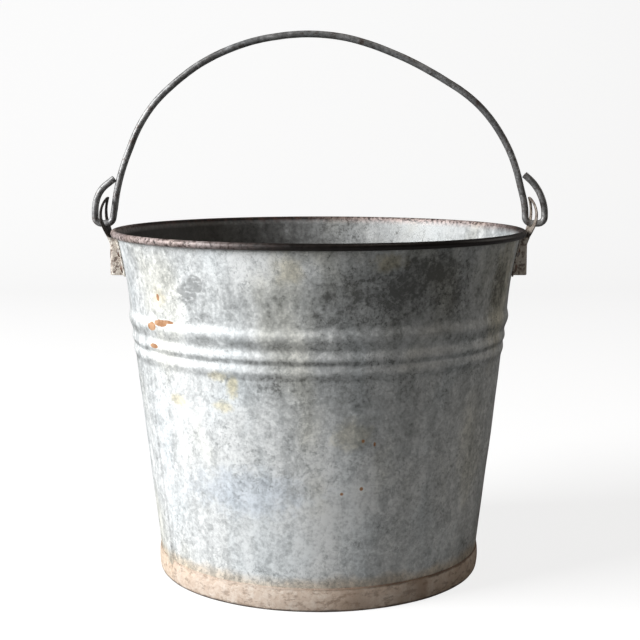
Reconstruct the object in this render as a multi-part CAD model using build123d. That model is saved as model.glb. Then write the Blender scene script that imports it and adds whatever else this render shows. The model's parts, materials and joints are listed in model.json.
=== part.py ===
from build123d import *
import os
from math import asin, atan, cos, degrees, hypot, radians, sin, sqrt, tan

# Galvanised milk pail with a wire bail.
# Millimetres, +Z up. The origin is on the floor at the middle of the foot, and X runs through both ears.

# Body sheet: a cone that flares out a little below its wired rim
body_height = 239.0  # floor to the top of the rolled rim
mouth_radius = 140.5  # outer face of the wall level with the rim wire
base_radius = 112.9  # outer face of the wall at the top edge of the foot band
flare_drop = 45.0  # where the flare starts, below the rim's top
flare_out = 2.9  # how far the flare has left the cone level with the rim wire
sheet = 0.8
rim_wire_radius = 1.55
curl_turn = 295.0  # degrees that the top edge is rolled round the rim wire

# Swaged ridges: (drop below the rim's top, height proud of the cone) of each crest and groove in turn
ridge_start_drop = 52.5
ridge_end_drop = 87.0
ridge_points = ((59.9, 1.5), (67.9, 0.1), (73.2, 1.0), (76.9, 0.2), (81.4, 0.9))

# Grooved side seam
seam_width = 10.0
seam_proud = 1.2
seam_azimuth = 207.0  # degrees from +X
seam_end_gap = 1.0  # bare wall above the foot band and below the curl

# Foot band
foot_height = 15.8
foot_lip = 1.0  # thickness of the edge turned in under the wall
foot_base_proud = 1.9  # proud of the wall's cone at the floor
foot_swell_height = 6.0
foot_swell_proud = 2.1
foot_top_proud = 0.35

# Bottom
bottom_height = 10.8  # floor to the upper face of the raised bottom
bottom_corner = 2.4

# Ears: one stamping each, a channel riveted to the wall below an eye plate that bows outwards
ear_sheet = 1.3
ear_drop = 32.2  # lower edge below the rim's top
ear_stand_off = 0.6  # front face beyond the rim's outer edge
ear_front_drop = 11.8  # where the neck starts to lean out, below the rim's top
ear_top_rise = 21.8  # top of the eye plate above the rim's top
channel_half_width = 12.0
channel_corner = 2.5
flange_half_width = 23.0
ear_bead_gap = 1.3  # top edges of the channel's sides and of the flanges, below the rolled rim
neck_lean = 21.0  # degrees from upright
neck_bend = 6.0
bow_radius = 22.0
bow_rise = 0.2  # the bow's outermost point, above the middle of the eye
eye_radius = 9.2
eye_clear = 0.5  # lowest point of the eye above the rim's top
eye_limb = 6.3  # plate beside the eye
eye_crown = 2.9  # plate above the eye

# Rivets
rivet_radius = 1.6
rivet_head_radius = 3.3
rivet_outer_head = 1.6
rivet_inner_head = 1.1
rivet_offset = 17.5  # from the ear's middle, measured across
rivet_drops = (15.6, 26.6)  # below the rim's top
rivet_inner_ease = 0.06  # the inner head's edge clears the hollow of the wall
rivet_outer_ease = 0.03  # the outer head's edge clears the flare of the flange
drill_reach = 4.0

# Bail
bail_wire_radius = 2.38
bail_rise = 130.2  # pivot to the middle of the wire at the crown
pivot_clearance = 0.3  # wire to the lowest point of the eye
left_hook_gaps = (2.2, 3.8)  # eye plate to the inner leg and to the outer one, at the pivot
right_hook_gaps = (1.6, 5.6)
hook_inside_bend = 2.1
bend_share = 0.49  # part of the shorter run beside a corner that its bend takes up
# Corners of the bail's bends, from the left leg over to the right one, as shares of the span and of the rise
bail_corners = ((-0.963, 0.244), (-0.839, 0.595), (-0.565, 0.865), (-0.224, 1.001), (0.131, 0.998),
                (0.461, 0.855), (0.769, 0.649), (0.931, 0.386), (0.998, 0.097))
# Corners of each hook above its eye: (outwards of the outer leg, above the pivot)
left_hook_corners = ((-0.1, 14.0), (-4.3, 24.0))
right_hook_corners = ((0.0, 11.5), (-3.1, 20.7), (-8.3, 28.6))
left_hook_end = (-14.0, 31.3)
right_hook_end = (-14.6, 33.95)

# Worked-out sizes of the cone, its flare and the rim
bead_radius = rim_wire_radius + sheet
rim_z = body_height - bead_radius
wall_slope = (mouth_radius - flare_out - base_radius) / (rim_z - foot_height)
wall_lean = degrees(atan(wall_slope))
along_wall = Vector(sin(radians(wall_lean)), cos(radians(wall_lean)))
across_wall = Vector(cos(radians(wall_lean)), -sin(radians(wall_lean)))
flare_z = body_height - flare_drop
flare_start = Vector(base_radius + wall_slope * (flare_z - foot_height), flare_z)
to_mouth = Vector(mouth_radius, rim_z) - flare_start
flare_radius = to_mouth.dot(to_mouth) / (2 * to_mouth.dot(across_wall))
flare_centre = flare_start + across_wall * flare_radius


def wall_radius(z, proud=0.0):
    """Radius of the wall's outer face at a height, or of a surface that stands proud of it; no ridges."""
    if z < flare_z:
        return base_radius + wall_slope * (z - foot_height) + proud / cos(radians(wall_lean))
    return flare_centre.X - sqrt((flare_radius - proud) ** 2 - (z - flare_centre.Y) ** 2)


def lean_at(z, proud=0.0):
    """How far the wall leans out from upright at a height, in degrees."""
    if z < flare_z:
        return wall_lean
    return degrees(asin((z - flare_centre.Y) / (flare_radius - proud)))


# Worked-out places of the rim, the ears and the pivot
rim_centre = wall_radius(rim_z, rim_wire_radius)
rim_lean = lean_at(rim_z, rim_wire_radius)
rim_outer = rim_centre + bead_radius
ear_front = rim_outer + ear_stand_off
ear_low = body_height - ear_drop
ear_shoulder = rim_z - bead_radius - ear_bead_gap
eye_z = body_height + eye_clear + eye_radius
plate_radius = eye_radius + eye_limb
plate_z = eye_z + eye_radius + eye_crown - plate_radius
pivot_z = body_height + eye_clear + bail_wire_radius + pivot_clearance


def wall_line(low, high, shift):
    """The wall's face between two heights, moved out by a shift: the cone, then the flare; no ridges."""
    reach = flare_radius - shift
    knee = flare_start + across_wall * shift
    lines = []
    if low < knee.Y:
        lines.append(Line((wall_radius(low, shift), low), knee))
        low_turn = 180 - wall_lean
    else:
        low_turn = 180 - lean_at(low, shift)
    high_turn = 180 - degrees(asin((high - flare_centre.Y) / reach))
    lines.append(CenterArc(flare_centre, reach, low_turn, high_turn - low_turn))
    return lines


def ridge_line(shift):
    """The wall's face over the three ridges, moved in or out by a shift."""
    start = body_height - ridge_end_drop
    end = body_height - ridge_start_drop
    points = [(wall_radius(start, shift), start)]
    for drop, proud in reversed(ridge_points):
        z = body_height - drop
        points.append((wall_radius(z, shift + proud), z))
    points.append((wall_radius(end, shift), end))
    return Spline(points, tangents=[along_wall, along_wall])


def face_from(*parts):
    """A face in the XZ plane from a closed chain of lines drawn in X and Z."""
    edges = [edge for part in parts for edge in part.edges()]
    return Plane.XZ * make_face(Curve() + edges)


def spun(face):
    return revolve(face, Axis.Z, 360)


def body_wall():
    """Wall sheet with its ridges, its flare, the curl over the rim wire and the raised side seam."""
    bottom = foot_lip
    out_ridges = ridge_line(0)
    in_ridges = ridge_line(-sheet)
    ridge_top = body_height - ridge_start_drop
    tangent_rise = sin(radians(rim_lean))
    out_upper = wall_line(ridge_top, rim_z + rim_wire_radius * tangent_rise, 0)
    in_upper = wall_line(ridge_top, rim_z + bead_radius * tangent_rise, -sheet)
    inner_curl = CenterArc((rim_centre, rim_z), rim_wire_radius, 180 - rim_lean, -curl_turn)
    outer_curl = CenterArc((rim_centre, rim_z), bead_radius, 180 - rim_lean, -curl_turn)
    section = face_from(
        Line((wall_radius(bottom), bottom), out_ridges @ 0),
        out_ridges,
        *out_upper,
        inner_curl,
        Line(inner_curl @ 1, outer_curl @ 1),
        outer_curl,
        *in_upper,
        in_ridges,
        Line(in_ridges @ 0, (wall_radius(bottom, -sheet), bottom)),
        Line((wall_radius(bottom, -sheet), bottom), (wall_radius(bottom), bottom)),
    )
    return spun(section) + side_seam()


def side_seam():
    """Raised strip of the folded seam, which follows the ridges; its back lies inside the sheet."""
    low = foot_height + seam_end_gap
    high = rim_z - bead_radius - seam_end_gap
    ridge_top = body_height - ridge_start_drop

    def face_line(shift):
        ridges = ridge_line(shift)
        return [Line((wall_radius(low, shift), low), ridges @ 0), ridges, *wall_line(ridge_top, high, shift)]

    front = face_line(seam_proud)
    back = face_line(-sheet / 2)
    section = face_from(
        *front,
        Line(front[-1] @ 1, back[-1] @ 1),
        *back,
        Line(back[0] @ 0, front[0] @ 0),
    )
    seam_turn = degrees(seam_width / wall_radius(body_height / 2))
    strip = revolve(section, Axis.Z, seam_turn)
    return Rot(0, 0, seam_azimuth - seam_turn / 2) * strip


def rim_wire():
    """Hoop of wire that the top edge is rolled over."""
    return Pos(0, 0, rim_z) * Torus(rim_centre, rim_wire_radius)


def bottom_pan():
    """Raised bottom disc, with a skirt turned down inside the wall as far as the foot band's lip."""
    under = bottom_height - sheet
    outer = FilletPolyline(
        (0, bottom_height),
        (wall_radius(bottom_height, -sheet), bottom_height),
        (wall_radius(foot_lip, -sheet), foot_lip),
        radius=bottom_corner,
    )
    inner = FilletPolyline(
        (wall_radius(foot_lip, -2 * sheet), foot_lip),
        (wall_radius(under, -2 * sheet), under),
        (0, under),
        radius=bottom_corner - sheet,
    )
    section = face_from(outer, Line(outer @ 1, inner @ 0), inner, Line(inner @ 1, outer @ 0))
    return spun(section)


def foot_band():
    """Hoop round the base of the wall, with a swelled face and a lip under the wall and the skirt."""
    lip_inside = wall_radius(foot_lip, -2 * sheet)
    base_corner = (wall_radius(0, foot_base_proud), 0)
    swell_point = (wall_radius(foot_swell_height, foot_swell_proud), foot_swell_height)
    top_corner = (wall_radius(foot_height, foot_top_proud), foot_height)
    swell = Spline(base_corner, swell_point, top_corner)
    section = face_from(
        Line((lip_inside, 0), base_corner),
        swell,
        Polyline(
            top_corner,
            (wall_radius(foot_height), foot_height),
            (wall_radius(foot_lip), foot_lip),
            (lip_inside, foot_lip),
            (lip_inside, 0),
        ),
    )
    return spun(section)


def ear_side_line(offset):
    """Side view of the ear's front, neck and eye plate, moved off the middle of its sheet."""
    x = ear_front - ear_sheet / 2 + offset
    neck_start = body_height - ear_front_drop
    neck_top = eye_z + bow_rise - bow_radius * sin(radians(neck_lean))
    neck_way = (sin(radians(neck_lean)), cos(radians(neck_lean)))
    front = Line((x, ear_low), (x, neck_start))
    bend = JernArc(front @ 1, (0, 1), neck_bend - offset, -neck_lean)
    rise = neck_bend * sin(radians(neck_lean))
    neck_length = (neck_top - neck_start - rise) / cos(radians(neck_lean))
    neck = Line(bend @ 1, bend @ 1 + Vector(*neck_way) * neck_length)
    top_sine = (body_height + ear_top_rise - neck_top) / bow_radius - sin(radians(neck_lean))
    bow_turn = neck_lean + degrees(asin(top_sine))
    bow = JernArc(neck @ 1, neck_way, bow_radius + offset, bow_turn)
    return [front, bend, neck, bow]


def eye_x():
    """Middle of the eye plate's sheet at the pivot's height."""
    level = Edge.make_line((rim_outer, pivot_z), (rim_outer + bow_radius, pivot_z))
    for line in ear_side_line(0):
        for hit in line.edges()[0].find_intersection_points(level):
            return hit.X


def wall_block(proud):
    """Everything inside the wall's face beside the ear, or inside a face that stands proud of it."""
    below = ear_low - ear_sheet
    corners = [(wall_radius(rim_z, proud), rim_z), (0, rim_z), (0, below), (wall_radius(below, proud), below)]
    return spun(face_from(*wall_line(below, rim_z, proud), Polyline(*corners)))


def channel_block(offset, half_width, corner, low, high):
    """Solid behind the ear's front face between two heights, with its two front edges rounded."""
    line = ear_side_line(offset)
    top = line[-1] @ 1
    side_view = face_from(*line, Polyline(top, (0, top.Y), (0, ear_low), line[0] @ 0))
    block = extrude(side_view, half_width, both=True)
    block &= Pos(0, 0, (low + high) / 2) * Box(4 * ear_front, 4 * half_width, high - low)
    behind = ear_front - 2 * ear_sheet
    front_edges = [e for e in block.edges() if e.center().X > behind and abs(e.center().Y) > half_width / 2]
    return fillet(front_edges, corner)


def ear_right():
    """Stamped ear on the +X side: flanges on the wall, a raised channel, a leaning neck and an eye."""
    flange_height = ear_shoulder - ear_low
    flange = Pos(ear_front / 2, 0, ear_low + flange_height / 2) * Box(
        ear_front, 2 * flange_half_width, flange_height)
    flange &= wall_block(ear_sheet)
    channel = channel_block(ear_sheet / 2, channel_half_width, channel_corner, ear_low, ear_shoulder)
    hollow = channel_block(-ear_sheet / 2, channel_half_width - ear_sheet, channel_corner - ear_sheet,
                           ear_low - ear_sheet, ear_shoulder + ear_sheet)
    lower = flange + channel - hollow - wall_block(0)

    outer = ear_side_line(ear_sheet / 2)
    inner = ear_side_line(-ear_sheet / 2)
    crown_edge = Line(outer[-1] @ 1, inner[-1] @ 1)
    lower_edge = Line(inner[0] @ 0, outer[0] @ 0)
    side_view = face_from(*outer, crown_edge, *inner, lower_edge)
    plate = extrude(side_view, 2 * plate_radius, both=True)
    flat = channel_half_width - channel_corner
    outline = Polyline(
        (-flat, ear_low),
        (flat, ear_low),
        (flat, ear_shoulder),
        (plate_radius, plate_z),
        (-plate_radius, plate_z),
        (-flat, ear_shoulder),
        (-flat, ear_low),
    )
    front_view = make_face(outline) + Pos(0, plate_z) * Circle(plate_radius)
    front_view -= Pos(0, eye_z) * Circle(eye_radius)
    plate &= extrude(Plane.YZ * front_view, 2 * ear_front)
    return lower + plate


def rivet_planes(side):
    """Planes on the wall's outer face at the rivets of one ear, looking outwards along the wall's normal."""
    planes = []
    for drop in rivet_drops:
        for across in (-rivet_offset, rivet_offset):
            z = body_height - drop
            turn = asin(across / wall_radius(z))
            out = Vector(side * cos(turn), sin(turn), 0)
            lean = radians(lean_at(z))
            normal = out * cos(lean) - Vector(0, 0, sin(lean))
            planes.append(Plane(origin=out * wall_radius(z) + Vector(0, 0, z), z_dir=normal))
    return planes


def dome(radius, height):
    """Low round head that stands on its flat face."""
    ball = (radius**2 + height**2) / (2 * height)
    edge_angle = degrees(asin((ball - height) / ball))
    curve = CenterArc((0, height - ball), ball, edge_angle, 90 - edge_angle)
    return spun(face_from(curve, Line((0, height), (0, 0)), Line((0, 0), (radius, 0))))


def rivet_shank(grip_in, grip_out):
    return Pos(0, 0, (grip_out - grip_in) / 2) * Cylinder(rivet_radius, grip_in + grip_out)


def rivets(side):
    """The four rivets of one ear, with domed heads outside and flatter ones inside."""
    inner_face = sheet + rivet_inner_ease
    outer_face = ear_sheet + rivet_outer_ease
    rivet = rivet_shank(inner_face, outer_face)
    rivet += Pos(0, 0, outer_face) * dome(rivet_head_radius, rivet_outer_head)
    rivet += Pos(0, 0, -inner_face) * Rot(180, 0, 0) * dome(rivet_head_radius, rivet_inner_head)
    return Compound(children=[plane * rivet for plane in rivet_planes(side)])


def rivet_holes(side):
    """Cutters for the holes through the wall and the ear's flanges."""
    return [plane * rivet_shank(drill_reach, drill_reach) for plane in rivet_planes(side)]


def bend_radii(points):
    """Radius at each corner of a run of points: as large as the shorter of its two runs allows."""
    radii = []
    for before, here, after in zip(points, points[1:], points[2:]):
        run = min(hypot(*(here - before)), hypot(*(after - here)))
        turn = (here - before).get_angle(after - here)
        radii.append(bend_share * run / tan(radians(turn / 2)))
    return radii


def hook(side, gaps, corners, end):
    """Corners of one hook, from the foot of its inner leg to its cut end, and the radii of their bends."""
    plate_x = eye_x()
    inner_leg = plate_x - ear_sheet / 2 - gaps[0] - bail_wire_radius
    outer_leg = plate_x + ear_sheet / 2 + gaps[1] + bail_wire_radius
    hook_bend = bail_wire_radius + hook_inside_bend
    points = [Vector(side * inner_leg, pivot_z), Vector(side * outer_leg, pivot_z)]
    points += [Vector(side * (outer_leg + out), pivot_z + up) for out, up in corners]
    points.append(Vector(side * (outer_leg + end[0]), pivot_z + end[1]))
    return points, [hook_bend, hook_bend, *bend_radii(points[1:])]


def bail_wire():
    """Round wire bent into an arch, with a hook through each eye."""
    left_points, left_radii = hook(-1, left_hook_gaps, left_hook_corners, left_hook_end)
    right_points, right_radii = hook(1, right_hook_gaps, right_hook_corners, right_hook_end)
    half_span = (right_points[0].X - left_points[0].X) / 2
    arch = [Vector(share * half_span, pivot_z + rise * bail_rise) for share, rise in bail_corners]
    arch_radii = bend_radii([left_points[0], *arch, right_points[0]])
    points = left_points[::-1] + arch + right_points
    radii = left_radii[::-1] + arch_radii + right_radii
    path = Plane.XZ * FilletPolyline(*[(point.X, point.Y) for point in points], radius=radii)
    section = Plane(origin=path @ 0, z_dir=path % 0) * Circle(bail_wire_radius)
    return sweep(section, path=path)


ear = ear_right()
holes = {side: rivet_holes(side) for side in (1, -1)}
parts = {
    "body_wall": body_wall() - holes[1] - holes[-1],
    "rim_wire": rim_wire(),
    "bottom_pan": bottom_pan(),
    "foot_band": foot_band(),
    "ear_right": ear - holes[1],
    "ear_left": mirror(ear, Plane.YZ) - holes[-1],
    "ear_rivets_right": rivets(1),
    "ear_rivets_left": rivets(-1),
    "bail_wire": bail_wire(),
}

os.makedirs("parts", exist_ok=True)
for name, part in parts.items():
    export_step(part, "parts/" + name + ".step")
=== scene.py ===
import json
import math

import bpy
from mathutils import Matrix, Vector


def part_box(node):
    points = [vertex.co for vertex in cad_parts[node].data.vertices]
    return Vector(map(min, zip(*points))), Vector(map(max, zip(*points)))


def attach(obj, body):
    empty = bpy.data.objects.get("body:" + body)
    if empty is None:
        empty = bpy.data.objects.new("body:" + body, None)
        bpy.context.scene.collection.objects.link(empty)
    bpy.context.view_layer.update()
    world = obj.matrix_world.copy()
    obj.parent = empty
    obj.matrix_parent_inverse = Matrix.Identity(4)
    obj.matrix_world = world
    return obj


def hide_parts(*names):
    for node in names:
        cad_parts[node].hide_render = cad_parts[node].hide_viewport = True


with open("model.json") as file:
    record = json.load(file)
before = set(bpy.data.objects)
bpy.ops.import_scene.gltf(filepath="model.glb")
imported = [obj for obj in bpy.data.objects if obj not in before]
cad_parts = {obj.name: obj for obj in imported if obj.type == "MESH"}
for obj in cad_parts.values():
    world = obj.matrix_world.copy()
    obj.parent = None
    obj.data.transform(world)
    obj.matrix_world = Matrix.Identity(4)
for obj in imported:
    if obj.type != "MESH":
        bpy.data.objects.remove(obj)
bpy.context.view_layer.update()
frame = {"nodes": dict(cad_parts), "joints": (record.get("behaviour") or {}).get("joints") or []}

# ------------------------------------------------------------
# The room. A white sheet of paper lies under the pail and curves up behind it. One wide soft window stands
# at the left, and two weak lights, in the roof and at the far right, keep the shaded side from going black.
scene = bpy.context.scene
scene.view_settings.view_transform = "Standard"
camera_tilt = math.radians(7.76)

camera_data = bpy.data.cameras.new("camera")
camera_data.sensor_width = 36.0
camera_data.lens = 73.95
camera = bpy.data.objects.new("camera", camera_data)
camera.location = (0.0010, -0.9226, 0.2995)
camera.rotation_euler = (math.pi / 2 - camera_tilt, 0, 0)
scene.collection.objects.link(camera)
scene.camera = camera


def place(tree, kind, fed=None, **settings):
    """Adds a node, sets its properties, then fills its inputs with values or with other nodes' outputs."""
    made = tree.nodes.new(kind)
    for name, value in settings.items():
        setattr(made, name, value)
    for name, value in (fed or {}).items():
        if isinstance(value, bpy.types.NodeSocket):
            tree.links.new(value, made.inputs[name])
        else:
            made.inputs[name].default_value = value
    return made


def soft_light(name, power, size, distance, azimuth, height, colour):
    """A square soft light; azimuth counts from the camera's side, positive towards the right."""
    data = bpy.data.lights.new(name, "AREA")
    data.energy = power
    data.size = size
    data.color = colour
    light = bpy.data.objects.new(name, data)
    turn = math.radians(azimuth)
    light.location = (distance * math.sin(turn), -distance * math.cos(turn), height)
    light.rotation_euler = (light_target - light.location).to_track_quat("-Z", "Y").to_euler()
    scene.collection.objects.link(light)


light_target = Vector((0, 0, 0.15))
soft_light("window", 92, 1.4, 2.1, -70, 1.2, (0.985, 0.99, 1.0))
soft_light("roof_light", 4, 0.7, 1.0, 50, 2.1, (1.0, 0.90, 0.80))
soft_light("edge_light", 4, 1.0, 2.0, 112, 0.9, (1.0, 0.96, 0.91))

world = bpy.data.worlds.new("room")
world.use_nodes = True
world.node_tree.nodes.clear()
sight = place(world.node_tree, "ShaderNodeLightPath")
dim = place(world.node_tree, "ShaderNodeBackground", {"Color": (0.5, 0.465, 0.42, 1), "Strength": 0.10})
paper = place(world.node_tree, "ShaderNodeBackground", {"Color": (1, 1, 1, 1), "Strength": 1.0})
seen = place(world.node_tree, "ShaderNodeMixShader", {0: sight.outputs["Is Camera Ray"], 1: dim.outputs[0],
                                                      2: paper.outputs[0]})
place(world.node_tree, "ShaderNodeOutputWorld", {"Surface": seen.outputs[0]})
scene.world = world


def blank_material(name):
    """A new material with no nodes yet, and its tree."""
    material = bpy.data.materials.new(name)
    material.use_nodes = True
    material.node_tree.nodes.clear()
    return material, material.node_tree


def mesh_piece(name, points, faces):
    """A mesh object at the origin, from points in metres."""
    mesh = bpy.data.meshes.new(name)
    mesh.from_pydata(points, [], faces)
    mesh.update()
    piece = bpy.data.objects.new(name, mesh)
    scene.collection.objects.link(piece)
    return piece


def arc(centre, radius, start, end, steps):
    """Points of an arc round a centre, with both its ends; the angles are in radians."""
    turns = [start + (end - start) * i / steps for i in range(steps + 1)]
    return [(centre[0] + radius * math.cos(turn), centre[1] + radius * math.sin(turn)) for turn in turns]


paper_near, paper_far, paper_bend, paper_half, paper_top = -1.6, 2.6, 0.9, 3.2, 3.0
sweep = [(paper_near, 0.0), *arc((paper_far - paper_bend, paper_bend), paper_bend, -math.pi / 2, 0, 16),
         (paper_far, paper_top)]
paper_points = [(side * paper_half, y, z) for y, z in sweep for side in (-1, 1)]
paper_faces = [(2 * i, 2 * i + 1, 2 * i + 3, 2 * i + 2) for i in range(len(sweep) - 1)]
floor = mesh_piece("floor_paper", paper_points, paper_faces)
for face in floor.data.polygons:
    face.use_smooth = True
floor_material, tree = blank_material("white_paper")
sight = place(tree, "ShaderNodeLightPath")
matt = place(tree, "ShaderNodeBsdfDiffuse", {"Color": (0.30, 0.30, 0.30, 1)})
glow = place(tree, "ShaderNodeEmission", {"Color": (1, 1, 1, 1), "Strength": 0.80})
bright = place(tree, "ShaderNodeAddShader", {0: matt.outputs[0], 1: glow.outputs[0]})
paper_look = place(tree, "ShaderNodeMixShader", {0: sight.outputs["Is Camera Ray"], 1: matt.outputs[0],
                                                 2: bright.outputs[0]})
place(tree, "ShaderNodeOutputMaterial", {"Surface": paper_look.outputs[0]})
floor.data.materials.append(floor_material)

# ------------------------------------------------------------
# The body sheet: one blank of mild steel, rolled into a cone that flares out below the rim, closed with a
# folded side seam, swaged with three ridges and rolled outwards over a wire. Its zinc is dull and mottled.
rim_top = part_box("body_wall")[1].z
wall_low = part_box("body_wall")[0].z
sheet = 0.0008
rim_wire_radius = 0.00155
bead_radius = rim_wire_radius + sheet
rim_z = rim_top - bead_radius
foot_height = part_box("foot_band")[1].z
base_radius = 0.1129
mouth_radius = 0.1405
flare_drop = 0.045
flare_out = 0.0029
wall_slope = (mouth_radius - flare_out - base_radius) / (rim_z - foot_height)
wall_lean = math.atan(wall_slope)
flare_z = rim_top - flare_drop
flare_foot = base_radius + wall_slope * (flare_z - foot_height)
flare_rise = rim_z - flare_z
flare_run = mouth_radius - flare_foot
flare_depth = flare_run * math.cos(wall_lean) - flare_rise * math.sin(wall_lean)
flare_radius = (flare_run**2 + flare_rise**2) / (2 * flare_depth)
flare_centre_x = flare_foot + flare_radius * math.cos(wall_lean)
flare_centre_z = flare_z - flare_radius * math.sin(wall_lean)
ridge_steps = ((0.0870, 0), (0.0814, 0.0009), (0.0769, 0.0002), (0.0732, 0.0010), (0.0679, 0.0001),
               (0.0599, 0.0015), (0.0525, 0))
curl_turn = math.radians(295)
seam_azimuth = math.radians(207)
seam_half_width = 0.005
seam_lift = 0.0012
# Shares of the seam's half width: the stretch with close angles, the seam's foot and the run of its slope.
seam_reach, seam_foot, seam_slope = 1.25, 1.22, 0.3
seam_steps = 12


def wall_radius(z, proud=0.0):
    """Radius of the wall's outer face at a height, or of a surface that stands proud of it; no ridges."""
    if z < flare_z:
        return base_radius + wall_slope * (z - foot_height) + proud / math.cos(wall_lean)
    return flare_centre_x - math.sqrt((flare_radius - proud) ** 2 - (z - flare_centre_z) ** 2)


def lean_at(z, proud=0.0):
    """How far the wall leans out from upright at a height, in radians."""
    if z < flare_z:
        return wall_lean
    return math.asin((z - flare_centre_z) / (flare_radius - proud))


def ridge_height(z):
    """How far the ridges stand proud of the cone at a height: rounded crests joined by rounded grooves."""
    drop = rim_top - z
    for (drop_a, proud_a), (drop_b, proud_b) in zip(ridge_steps, ridge_steps[1:]):
        if drop_b <= drop <= drop_a:
            share = (drop_a - drop) / (drop_a - drop_b)
            return proud_a + (proud_b - proud_a) * (0.5 - 0.5 * math.cos(math.pi * share))
    return 0.0


def rows(low, high, pitch):
    """Evenly spaced heights from low up to, but not counting, high."""
    count = max(1, round((high - low) / pitch))
    return [low + (high - low) * i / count for i in range(count)]


def store(piece, layer, numbers):
    """Keeps one number for each point of a piece, under a layer's name."""
    piece.data.attributes.new(layer, "FLOAT", "POINT").data.foreach_set("value", numbers)


def ring_mesh(name, ring):
    """The closed section of a spun sheet: (radius, height, outside, rim, give) for each point in turn."""
    piece = mesh_piece(name, [(point[0], 0, point[1]) for point in ring], [])
    for index, layer in enumerate(("outside", "rim", "give")):
        store(piece, layer, [point[2 + index] for point in ring])
    return piece


def turn_mesh(name, count, seam_at=None):
    """Angles round the axis, close together at the seam: x is the angle, y the seam's share of its lift."""
    angles = [math.tau * i / count for i in range(count)]
    half_turn = 0.0
    if seam_at is not None:
        half_turn = seam_half_width / wall_radius(rim_top / 2)
        edge = half_turn * seam_reach
        angles = [angle for angle in angles if abs(angle - seam_at) > edge * 1.15]
        angles += [seam_at + edge * (i / seam_steps - 1) for i in range(2 * seam_steps + 1)]
    angles = sorted(angles) + [math.tau]
    points = []
    for angle in angles:
        raised = 0.0
        if seam_at is not None:
            inside = (seam_foot - abs(angle - seam_at) / half_turn) / seam_slope
            share = min(max(inside, 0.0), 1.0)
            raised = share * share * (3 - 2 * share)
        points.append((angle, raised, 0))
    return mesh_piece(name, points, [])


def new_group(name, kind, inputs, outputs):
    """An empty node group with named sockets; each socket is (name, type) or (name, type, value)."""
    group = bpy.data.node_groups.new(name, kind)
    for way, sockets in (("INPUT", inputs), ("OUTPUT", outputs)):
        for label, socket_type, *value in sockets:
            socket = group.interface.new_socket(label, in_out=way, socket_type="NodeSocket" + socket_type)
            if value:
                socket.default_value = value[0]
    entry = group.nodes.new("NodeGroupInput")
    leave = group.nodes.new("NodeGroupOutput")
    return group, entry.outputs, leave.inputs


def sums(tree, operation, first, second=0.0, third=0.0):
    """Output of a math node."""
    node = place(tree, "ShaderNodeMath", {0: first, 1: second, 2: third}, operation=operation)
    return node.outputs[0]


def times(tree, first, second):
    """Output of first times second."""
    return sums(tree, "MULTIPLY", first, second)


def minus(tree, first, second):
    """Output of first minus second."""
    return sums(tree, "SUBTRACT", first, second)


def times_plus(tree, first, second, third):
    """Output of first times second, plus third."""
    return sums(tree, "MULTIPLY_ADD", first, second, third)


def ramp(tree, value, low, high, to_low=0.0, to_high=1.0):
    """Output of a smooth map of a value from one range to another, clamped at both ends."""
    node = place(tree, "ShaderNodeMapRange", {"Value": value, "From Min": low, "From Max": high,
                                              "To Min": to_low, "To Max": to_high},
                 interpolation_type="SMOOTHSTEP")
    return node.outputs["Result"]


def stored_layer(group, name, kind="FLOAT"):
    """Output of a layer stored on a tree's source."""
    return place(group, "GeometryNodeInputNamedAttribute", {"Name": name}, data_type=kind).outputs[0]


def end_tree(group, geometry, given, result):
    """Ends a geometry tree: smooth shading, real geometry and the tree's own material."""
    smooth = place(group, "GeometryNodeSetShadeSmooth", {"Geometry": geometry})
    real = place(group, "GeometryNodeRealizeInstances", {"Geometry": smooth.outputs[0]})
    painted = place(group, "GeometryNodeSetMaterial", {"Geometry": real.outputs[0],
                                                       "Material": given["Material"]})
    group.links.new(painted.outputs[0], result["Geometry"])
    return group


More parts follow.
